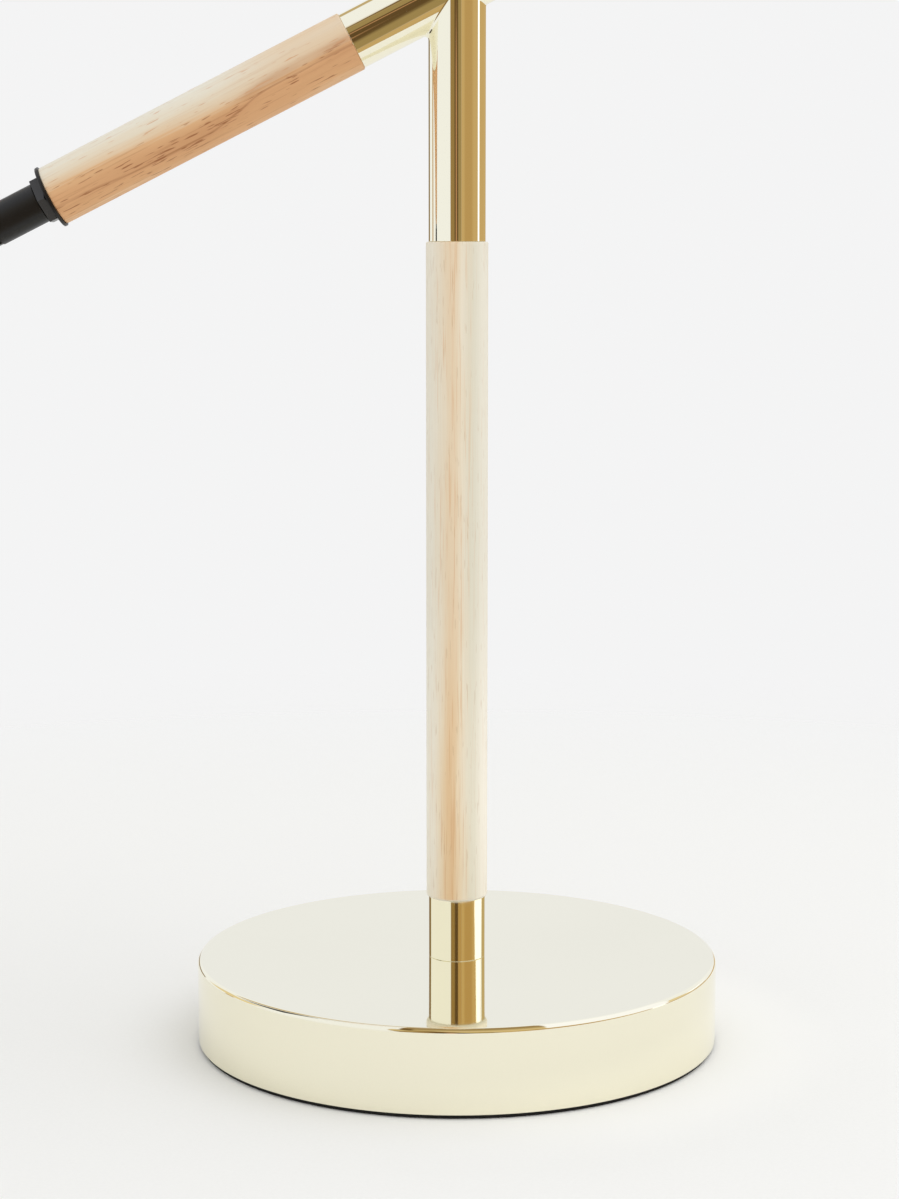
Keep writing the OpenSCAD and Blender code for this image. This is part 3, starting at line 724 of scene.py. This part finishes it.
black_oxide = satin_black("black_oxide", srgb(36, 36, 37), srgb(48, 48, 49), 0.55, 0.25)
low, high, bore, radius = reach("lock_nut", arm)
nut_across = 2 * radius * math.cos(math.pi / 6)
piece("chamfered_lock_nut", chamfered_nut(nut_across, bore, low, high), arm, [black_oxide],
      "stand", "black_metal", "lock_nut")

# Swivel: a black turned cylinder that turns on the arm's threaded tube, with a flat tongue
# milled on its far end for the tilt screw.


def lug(radius, run, thick, edge):
    """A plate with one round end at the origin, running along Z, thick across Y."""
    steps = 24
    way = 1 if run > 0 else -1
    bm = bmesh.new()
    arc = [(radius * math.cos(math.pi * k / steps), -way * radius * math.sin(math.pi * k / steps))
           for k in range(steps + 1)]
    verts = [bm.verts.new((x, -thick / 2, z)) for x, z in arc + [(-radius, run), (radius, run)]]
    bm.faces.new(verts)
    thicken(bm, (0, thick, 0))
    if edge:
        outline = [e for e in bm.edges if abs(e.verts[0].co.y - e.verts[1].co.y) < thick / 2]
        soften(bm, outline, edge, 2)
    return bm


low, high, bore, radius = reach("swivel_base", arm)
pivot_along = (arm.inverted() @ tilt_pivot).z
knuckle = high - pivot_along
tongue_root = 7.4 * mm
tongue_sink = 4.0 * mm
tongue_thick = 5.0 * mm
tongue_edge = 0.3 * mm
chamfer = 0.8 * mm
chamfer_edge = 0.2 * mm
mouth_edge = 0.3 * mm
seat_edge = 0.15 * mm
socket = low + 11.0 * mm
screw_radius = 2.0 * mm
screw_play = 0.05 * mm
shoulder = pivot_along - tongue_root
barrel = lathe([
    (bore, low, mouth_edge), (radius, low, seat_edge), (radius, shoulder - chamfer, chamfer_edge),
    (radius - chamfer, shoulder, chamfer_edge), (0, shoulder, 0), (0, socket, 0), (bore, socket, 0),
], 128)
tongue = lug(knuckle, -(tongue_root + tongue_sink), tongue_thick, tongue_edge)
tongue.transform(Matrix.Translation((0, 0, pivot_along)))
hole = peg(screw_radius + screw_play, -2 * tongue_thick, 2 * tongue_thick)
hole.transform(facing((0, 0, pivot_along), (0, -1, 0), (1, 0, 0)))
swivel = combine(combine(barrel, tongue, "UNION"), hole, "DIFFERENCE")
piece("turned_swivel", swivel, arm, [black_metal], "swivel", "black_metal", "swivel_base")

# Fork: the tilting half of the swivel, a black hub with two ears that hold the tongue between
# fibre washers. The shade's threaded tube screws into its far end.
ear_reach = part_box("pivot_nut")[0].y
low, high, bore, radius = reach("swivel_fork", head)
hub_length = 9.0 * mm
ear_sink = 1.0 * mm
washer_thick = 0.6 * mm
fork_width = 2 * ear_reach
slot_width = tongue_thick + 2 * washer_thick
root = high - hub_length
ears = combine(lug(knuckle, root + 2 * ear_sink, fork_width, 0),
               peg(radius, -knuckle - ear_sink, root + ear_sink, 128), "INTERSECT")
groove_low = root + 3.0 * mm
groove_high = root + 4.0 * mm
groove_slope = 0.2 * mm
groove_edge = 0.15 * mm
groove_floor = radius - 0.4 * mm
root_edge = 0.4 * mm
end_edge = 0.6 * mm
thread_end = high - 6.5 * mm
hub = lathe([
    (0, root, 0), (radius, root, root_edge), (radius, groove_low, groove_edge),
    (groove_floor, groove_low + groove_slope, 0), (groove_floor, groove_high - groove_slope, 0),
    (radius, groove_high, groove_edge), (radius, high, end_edge), (bore, high, 0),
    (bore, thread_end, 0), (0, thread_end, 0),
], 128)
slot_length = 40.0 * mm
slot = bmesh.new()
bmesh.ops.create_cube(slot, size=1.0, matrix=Matrix.Translation((0, 0, root - slot_length / 2))
                      @ Matrix.Diagonal((slot_length, slot_width, slot_length, 1)))
hole = peg(screw_radius + screw_play, -fork_width, fork_width)
tilt_place = facing((0, 0, 0), (0, -1, 0), (1, 0, 0))
hole.transform(tilt_place)
fork = combine(ears, hub, "UNION")
fork = combine(fork, slot, "DIFFERENCE")
fork = combine(fork, hole, "DIFFERENCE")
made = piece("slotted_fork", fork, head, [black_metal], "head", "black_metal", "swivel_fork")
edge_break = made.modifiers.new("edge_break", "BEVEL")
edge_break.width = 0.25 * mm
edge_break.segments = 2
edge_break.limit_method = "ANGLE"
edge_break.angle_limit = math.radians(50)
made.modifiers.move(1, 0)
buff_fibre, spot, shader = new_finish("vulcanised_fibre", {"Specular IOR Level": 0.3})
felted = noise(spot, (1800, 1800, 1800), 3.0)
feed(shader, {
    "Base Color": mix(felted, srgb(186, 178, 158), srgb(214, 208, 190)),
    "Roughness": 0.6 + 0.2 * felted,
    "Normal": bump(felted, 0.03 * mm),
})
dress(buff_fibre, "friction_washers")

# Tilt screw and nut: a black socket-head screw through ears and tongue, with a plain hexagon
# nut behind. They set how stiffly the head tilts.
tilt_screw = head @ tilt_place
low, high, bore, radius = reach("pivot_screw", tilt_screw)
screw_tip = 0.4 * mm
under_head = 0.2 * mm
head_crown = 0.5 * mm
key_across = 3.0 * mm
key_depth = 0.6 * (high - ear_reach)
screw = lathe([
    (0, low, 0), (screw_radius, low, screw_tip), (screw_radius, ear_reach, 0),
    (radius, ear_reach, under_head), (radius, high, head_crown), (0, high, 0),
], 72)
screw = combine(screw, hexagon(key_across, high - key_depth, high + mm), "DIFFERENCE")
piece("tilt_screw", screw, tilt_screw, [black_metal], "head", "black_metal", "pivot_screw")
low, high, bore, radius = reach("pivot_nut", tilt_screw)
nut = chamfered_nut(2 * radius * math.cos(math.pi / 6), bore, low, high)
nut.transform(Matrix.Rotation(math.radians(90), 4, "Z"))
piece("tilt_nut", nut, tilt_screw, [black_metal], "head", "black_metal", "pivot_nut")

# Shade: a cone spun from thin aluminium, with a round shoulder and a rolled bead at the rim.
# It is powder-coated matt black outside and white inside, and a washer seats it on the fork.
powder_black, spot, shader = new_finish("powder_black", {"Specular IOR Level": 0.4})
powder = noise(spot, (1100, 1100, 1100), 3.0)
cloud = noise(spot, (35, 35, 35), 3.0)
feed(shader, {
    "Base Color": mix(cloud, srgb(24, 24, 25), srgb(33, 33, 34)),
    "Roughness": 0.5 + 0.12 * powder,
    "Normal": bump(powder, 0.03 * mm),
})
powder_white, spot, shader = new_finish("powder_white", {"Specular IOR Level": 0.4})
powder = noise(spot, (1100, 1100, 1100), 3.0)
feed(shader, {
    "Base Color": mix(noise(spot, (30, 30, 30)), srgb(232, 231, 226), srgb(242, 241, 237)),
    "Roughness": 0.45 + 0.12 * powder,
    "Normal": bump(powder, 0.03 * mm),
})
low, high, bore, radius = reach("shade_washer", head)
washer_edge = 0.25 * mm
washer_seat = 0.1 * mm
piece("shade_washer_turned", lathe([
    (bore, low, 0), (radius, low, washer_edge), (radius, high, washer_seat), (bore, high, 0),
], 96), head, [black_metal], "head", "black_metal", "shade_washer")
shade_back = high
low, high, bore, radius = reach("shade", head)
sheet_wall = 1.0 * mm
bead = 1.3 * mm
bead_turn = 1.5 * math.pi
bead_steps = 18
back_radius = 14.0 * mm
shoulder_radius = 12.0 * mm
shade_lean = math.radians(19.22)
rim_along = high - bead
turn_in = shoulder_radius * math.tan((math.pi / 2 - shade_lean) / 2)
corner = back_radius + turn_in
skirt = Vector((math.sin(shade_lean), math.cos(shade_lean)))
out = Vector((math.cos(shade_lean), -math.sin(shade_lean)))
rim = Vector((corner, shade_back)) + skirt * ((rim_along - shade_back) / skirt.y)
inner_corner = corner - sheet_wall * math.tan((math.pi / 2 - shade_lean) / 2)
inner_turn = turn_in * (shoulder_radius - sheet_wall) / shoulder_radius
bead_middle = rim - out * sheet_wall / 2
bead_line = []
for k in range(bead_steps + 1):
    angle = bead_turn * (k / bead_steps - 0.5)
    point = bead_middle + bead * (math.cos(angle) * skirt - math.sin(angle) * out)
    bead_line.append((point.x, point.y, 0))
shade = lathe([(bore, shade_back, 0), (corner, shade_back, turn_in)] + bead_line + [
    (inner_corner, shade_back + sheet_wall, inner_turn), (bore, shade_back + sheet_wall, 0),
], 256)
for face in shade.faces:
    middle = face.calc_center_median()
    flat_out = Vector((middle.x, middle.y, 0)).normalized()
    outward = flat_out * math.cos(shade_lean) - Vector((0, 0, math.sin(shade_lean)))
    in_shell = math.hypot(middle.x, middle.y) < rim.x - 2 * bead
    face.material_index = 1 if in_shell and face.normal.dot(outward) < 0 else 0
button_low, button_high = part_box("switch_button")
switch = facing((button_low + button_high) / 2, -Vector(press["axis"]))
switch_hole = 5.3 * mm
drill_reach = 20.0 * mm
drill = peg(switch_hole, -drill_reach, drill_reach)
drill.transform(head.inverted() @ switch)
piece("spun_shade", combine(shade, drill, "DIFFERENCE"), head, [powder_black, powder_white],
      "head", "shade", "shade")

# Lampholder: a two-part moulded holder on the threaded tube. Its cap is fluted for the
# fingers, and the body carries a brass screw shell and a sprung centre contact.


def flute(bm, radius, heights, count, depth):
    """Sets every second rib of two rings in, which leaves flutes between them."""
    near = 0.01 * mm
    for vert in bm.verts:
        out = math.hypot(vert.co.x, vert.co.y)
        if abs(out - radius) < near and any(abs(vert.co.z - h) < near for h in heights):
            part = round(math.atan2(vert.co.y, vert.co.x) / math.pi * 2 * count) % 4
            if part in (1, 2):
                vert.co.x *= 1 - depth / radius
                vert.co.y *= 1 - depth / radius


low, high, bore, radius = reach("holder_cap", head)
cap_wall = 1.8 * mm
cap_crown = 1.5 * mm
cap_lip = 0.3 * mm
flute_ends = (low + 4 * mm, high - 2 * mm)
flute_run = 1.0 * mm
flute_depth = 0.6 * mm
cap_bore = radius - cap_wall
cap = lathe([
    (bore, low, 0), (radius, low, cap_crown), (radius, flute_ends[0] - flute_run, 0),
    (radius, flute_ends[0], 0), (radius, flute_ends[1], 0), (radius, flute_ends[1] + flute_run, 0),
    (radius, high, cap_lip), (cap_bore, high, 0), (cap_bore, low + cap_wall, 0),
    (bore, low + cap_wall, 0),
], 96)
flute(cap, radius, flute_ends, 24, flute_depth)
piece("holder_cap_moulding", cap, head, [cream_plastic], "head", "cream_plastic", "holder_cap")
low, high, bore, radius = reach("holder_body", head)
shell_play = 0.05 * mm
shell_radius = reach("screw_shell", head)[3] + shell_play
shell_floor = reach("centre_contact", head)[0]
waist_low = low + 9 * mm
waist_high = low + 13 * mm
waist_slope = 1.0 * mm
waist_edge = 0.2 * mm
waist_radius = radius - 0.6 * mm
foot_edge = 0.3 * mm
mouth_outside = 1.2 * mm
mouth_inside = 0.8 * mm
piece("holder_body_moulding", lathe([
    (0, low, 0), (radius, low, foot_edge), (radius, waist_low, waist_edge),
    (waist_radius, waist_low + waist_slope, waist_edge),
    (waist_radius, waist_high - waist_slope, waist_edge), (radius, waist_high, waist_edge),
    (radius, high, mouth_outside), (shell_radius, high, mouth_inside), (shell_radius, shell_floor, 0),
    (0, shell_floor, 0),
], 96), head, [cream_plastic], "head", "cream_plastic", "holder_body")
dress(turned_brass, "screw_shell", "centre_contact")

# Bulb: a small blown globe of opal glass, cemented to a plated screw cap that turns into the
# holder's shell. The glass is smooth and glossy, and only a little cloudy.
opal, spot, shader = new_finish("opal_glass", {"Specular IOR Level": 0.5, "Coat Roughness": 0.03})
milk = noise(spot, (40, 40, 40), 2.0)
feed(shader, {
    "Base Color": mix(milk, srgb(240, 239, 234), srgb(247, 246, 242)),
    "Roughness": 0.08 + 0.06 * milk,
    "Coat Weight": 0.4 + 0.2 * milk,
})
low, high, bore, radius = reach("bulb_glass", head)
neck = reach("bulb_cap", head)[3]
globe_middle = high - radius
rise = globe_middle - low
lean = math.asin(radius / math.hypot(neck, rise)) - math.atan2(neck, rise)
globe_steps = 28
globe = [(0, low, 0), (neck, low, 0)]
for k in range(globe_steps):
    angle = -lean + (math.pi / 2 + lean) * k / globe_steps
    globe.append((radius * math.cos(angle), globe_middle + radius * math.sin(angle), 0))
globe.append((0, high, 0))
piece("opal_globe", lathe(globe, 128), head, [opal], "head", "opal_glass", "bulb_glass")
dress(threaded_steel("bulb_thread", head), "bulb_cap")

# Push switch: a threaded black switch through the shade's shoulder, with its housing inside,
# a knurled ring nut outside and a domed button that travels two millimetres.
switch_black = moulded("switch_black", srgb(26, 26, 27), srgb(38, 38, 39), 0.36)
low, high, bore, radius = reach("switch_body", switch)
housing_front = low + 10.0 * mm
housing_back_edge = 0.6 * mm
housing_edge = 0.3 * mm
barrel_radius = 5.0 * mm
barrel_edge = 0.4 * mm
button_bore = 3.55 * mm
button_bore_edge = 0.2 * mm
well = high - 7.0 * mm
piece("switch_housing", lathe([
    (0, low, 0), (radius, low, housing_back_edge), (radius, housing_front, housing_edge),
    (barrel_radius, housing_front, 0), (barrel_radius, high, barrel_edge),
    (button_bore, high, button_bore_edge), (button_bore, well, 0), (0, well, 0),
], 96), switch, [switch_black], "head", "switch", "switch_body")
low, high, bore, radius = reach("switch_nut", switch)
knurl_inset = 0.5 * mm
knurl_fall = 0.4 * mm
knurl_depth = 0.3 * mm
lead_in = 0.3 * mm
knurl = (low + knurl_inset, high - knurl_inset)
ring = lathe([
    (bore, low, 0), (radius - knurl_fall, low, 0), (radius, knurl[0], 0), (radius, knurl[1], 0),
    (radius - knurl_fall, high, 0), (bore + lead_in, high, 0), (bore, high - lead_in, 0),
], 144)
flute(ring, radius, knurl, 36, knurl_depth)
piece("knurled_ring", ring, switch, [black_metal], "head", "switch", "switch_nut")
low, high, bore, radius = reach("switch_button", switch)
skirt_top = high - 0.7 * mm
skirt_round = 0.8 * mm
crown_radius = 0.55 * radius
crown_top = high - 0.15 * mm
crown_round = 0.6 * mm
heel = 0.3 * mm
piece("domed_button", lathe([
    (0, low, 0), (radius, low, heel), (radius, skirt_top, skirt_round),
    (crown_radius, crown_top, crown_round), (0, high, 0),
], 72), switch, [switch_black], "switch", "switch", "switch_button")

# Floor: a plain pale table top under the pad. It takes the lamp's shadow, has painted light that
# brightens it just around the base on the side that faces the key light, and runs out into the
# background.
table_half = 3.0
table_drop = 0.1 * mm
floor_mesh = bpy.data.meshes.new("table_top")
bm = bmesh.new()
bmesh.ops.create_grid(bm, x_segments=1, y_segments=1, size=table_half)
bmesh.ops.translate(bm, verts=bm.verts, vec=(0, 0, -table_drop))
bm.to_mesh(floor_mesh)
bm.free()
floor = bpy.data.objects.new("table_top", floor_mesh)
bpy.context.scene.collection.objects.link(floor)
pale_top, spot, shader = new_finish("pale_top", {"Roughness": 0.9, "Specular IOR Level": 0.1})
x, y, z = parts(spot)
mottle = noise(spot, (900, 900, 900), 2.0)
away = x.math("SQRT", x * x + y * y)
plain_top = mix(mottle, srgb(238, 238, 236), srgb(243, 243, 241))
# Painted light: the floor is brightened just around the base, on its right side.
painted_floor_light = ramp(away, 0.13, 0.085) * ramp(x, -0.07, 0.06)
feed(shader, {"Base Color": mix(0.6 * painted_floor_light, plain_top, srgb(255, 255, 253))})
floor_mesh.materials.append(pale_top)
seen = spot.node("LightPath", {}, {}, "Is Camera Ray")
mirrored = spot.node("LightPath", {}, {}, "Is Glossy Ray")
run_out = ramp(away, 0.3, 0.75)
front_edge = ramp(y, -0.2, -0.22)
missing = seen * run_out + mirrored * front_edge
clear = spot.node("BsdfTransparent", {}, {})
top = Wire(spot.tree, shader.outputs[0])
surface = spot.node("MixShader", {}, {0: missing, 1: top, 2: clear})
spot.tree.links.new(surface.socket, spot.tree.nodes["Material Output"].inputs["Surface"])

# Studio: an even white room, which gives matt pieces plain white light. Polished metal mirrors more
# of it: dim and warm panels behind and above the camera, a window and a strip light on the right.
# Metal that is seen in other metal, after a second bounce, has edge panels of its own.


def between(value, low, high, soft):
    """1 between two limits and 0 outside them, with soft edges."""
    return ramp(value, low - soft, low + soft) * ramp(value, high + soft, high - soft)


def hang(room, panels, height, soft, share):
    """Hangs panels in a room, each within limits of a direction, in degrees, and of height."""
    for colour, direction, left, right, edge, lowest, highest in panels:
        inside = between(direction, left, right, edge) * between(height, lowest, highest, soft)
        room = mix(inside * share, room, colour)
    return room


world = bpy.data.worlds.new("studio")
bpy.context.scene.world = world
world.use_nodes = True
view = Wire(world.node_tree).node("TexCoord", {}, {}, "Generated")
x, y, z = parts(view)
degrees = 180 / math.pi
strip_middle = 101.0
strip_taper = 450
turned = x.math("ARCTAN2", x, 0.0 - y) * degrees
single = view.math("LESS_THAN", view.node("LightPath", {}, {}, "Glossy Depth"), 1.5)
leaning = turned + 10 * z - 4.5 * (1.0 - single)
narrowing = x.math("ABSOLUTE", turned - strip_middle) - strip_taper * (z - 0.26)
bright = [0.93, 0.95, 1.0, 1.0]
wall = [0.87, 0.89, 0.945, 1.0]
dim_tan = [0.26, 0.18, 0.08, 1.0]
tan = [0.55, 0.42, 0.22, 1.0]
brown = [0.32, 0.205, 0.07, 1.0]
dark = [0.12, 0.07, 0.025, 1.0]
copper = [0.53, 0.28, 0.13, 1.0]
olive = [0.35, 0.25, 0.1, 1.0]
golden = [0.5, 0.32, 0.12, 1.0]
light_golden = [0.58, 0.4, 0.17, 1.0]
strip_light = [1.5, 1.5, 1.55, 1.0]
pale_golden = [0.8, 0.66, 0.38, 1.0]
warm_wall = [0.68, 0.53, 0.28, 1.0]
dim_ceiling = [0.35, 0.245, 0.105, 1.0]
dark_brown = [0.17, 0.1, 0.035, 1.0]
mid_gold = [0.54, 0.4, 0.19, 1.0]
window = [1.03, 1.05, 1.15, 1.0]
fittings = [
    (tan, turned, -200, -138, 1, 0.57, 0.79), (dim_tan, turned, -200, -141, 1, -0.04, 0.13),
    (golden, turned, -118, -111, 1, -2, 0.12), (light_golden, turned, 101, 138, 1, -2, 0.15),
    (light_golden, turned, 138, 200, 1, -0.04, 0.13), (golden, leaning, 17, 91, 2, -2, 0.42),
    (light_golden, leaning, 17, 30, 5, -2, 0.42), (light_golden, leaning, 65, 91, 8, -2, 0.42),
    (olive, leaning, -26, 17, 1, -2, 0.7), (brown, leaning, -26, -8, 2, -2, 0.3),
    (dark, leaning, -10, 4.5, 3, -2, 0.42), (golden, leaning, 3.5, 17, 2, 0.2, 0.42),
    (copper, leaning, -5, -1, 1, -2, 0.08), (copper, leaning, -15, 5, 1, 0.31, 0.35),
    (strip_light, turned, 92, 100, 1, -0.2, 0.15),
    (strip_light, narrowing, -200, 12.5, 1.5, 0.2, 0.34),
]
second_bounce = [
    (dim_tan, turned, -200, -136, 1, 0.2, 0.36), (tan, turned, 126, 200, 1, 0.2, 0.36),
]
side_walls = [
    (warm_wall, leaning, -26, 77, 1, 0.22, 0.75), (pale_golden, turned, 77, 123, 2, 0.18, 0.5),
    (pale_golden, turned, -135, -98, 6, 0.14, 0.5),
]
beside_arm = 1.0 - between(turned + 32 * z, -9, 9, 2)

# What hangs overhead follows the base's rounded rim: its directions are those of the rim's normal,
# halfway between the mirrored ray and the way to the camera.
way_back = 0.97
way_up = 0.25
normal_y = way_back - y
normal_z = z + way_up
normal_length = x.math("SQRT", x * x + normal_y * normal_y + normal_z * normal_z)
rim_side = x.math("ARCTAN2", x, normal_y) * degrees
rim_lean = normal_z / normal_length
overhead = [
    (mid_gold, rim_side, -12.2, 19.6, 0.5, 0.46, 0.63),
    (dim_ceiling, rim_side, -12.2, 19.6, 0.5, 0.62, 0.93),
    (dark_brown, rim_side, -12.2, -9.5, 0.7, 0.47, 0.75),
    (window, rim_side, 19.2, 52.5, 0.5, 0.29, 0.93),
]
room = hang(bright, fittings, z, 0.02, 1.0)
room = hang(room, second_bounce, z, 0.02, 1.0 - single)
room = hang(room, side_walls, z, 0.04, single * beside_arm)
room = hang(room, overhead, rim_lean, 0.02, single)
wall_band = ramp(y, 0.9, 0.95) * between(z, 0.12, 0.46, 0.04)
wall_foot = ramp(y, 0.94, 0.97) * ramp(z, 0.16, 0.08)
room = mix((wall_band + wall_foot) * single, room, wall)
plain = [0.95, 0.95, 0.95, 1.0]
backdrop = [0.905, 0.905, 0.907, 1.0]
first_mirror = view.math("LESS_THAN", view.node("LightPath", {}, {}, "Diffuse Depth"), 0.5)
mirrored = view.node("LightPath", {}, {}, "Is Glossy Ray")
seen = view.node("LightPath", {}, {}, "Is Camera Ray")
seen_through = view.node("LightPath", {}, {}, "Is Transmission Ray")
lit = mix(first_mirror * mirrored, plain, room)
shown = mix(view.math("MAXIMUM", seen, seen_through), lit, backdrop)
feed(world.node_tree.nodes["Background"], {"Color": shown})
key_light = bpy.data.lights.new("key", "AREA")
key_light.size = 1.2
key_light.energy = 4.0
key = bpy.data.objects.new("key", key_light)
bpy.context.scene.collection.objects.link(key)
key.location = (0.7, -0.3, 1.5)
key_target = Vector((0, 0, 0.15))
key.rotation_euler = (key_target - key.location).to_track_quat("-Z", "Y").to_euler()
key.visible_glossy = False

# Camera: level with the wood sleeve and turned down a little, as the lamp is seen across a desk.
# Its lens follows from a focal length in pixels and the height of the picture.
camera = bpy.data.cameras.new("camera")
frame_height = 1199
focal_pixels = 2600
camera.sensor_width = 36.0
camera.lens = camera.sensor_width * focal_pixels / frame_height
eye = bpy.data.objects.new("camera", camera)
bpy.context.scene.collection.objects.link(eye)
eye_distance = 823.5 * mm
eye_height = 256.2 * mm
eye.location = (0, -eye_distance, eye_height)
looking_down = 0.136
looking_left = 0.0029
level = math.cos(looking_down)
sight = Vector((-math.sin(looking_left) * level, level, -math.sin(looking_down)))
eye.rotation_euler = sight.to_track_quat("-Z", "Y").to_euler()
bpy.context.scene.camera = eye
bpy.context.scene.view_settings.view_transform = "Standard"
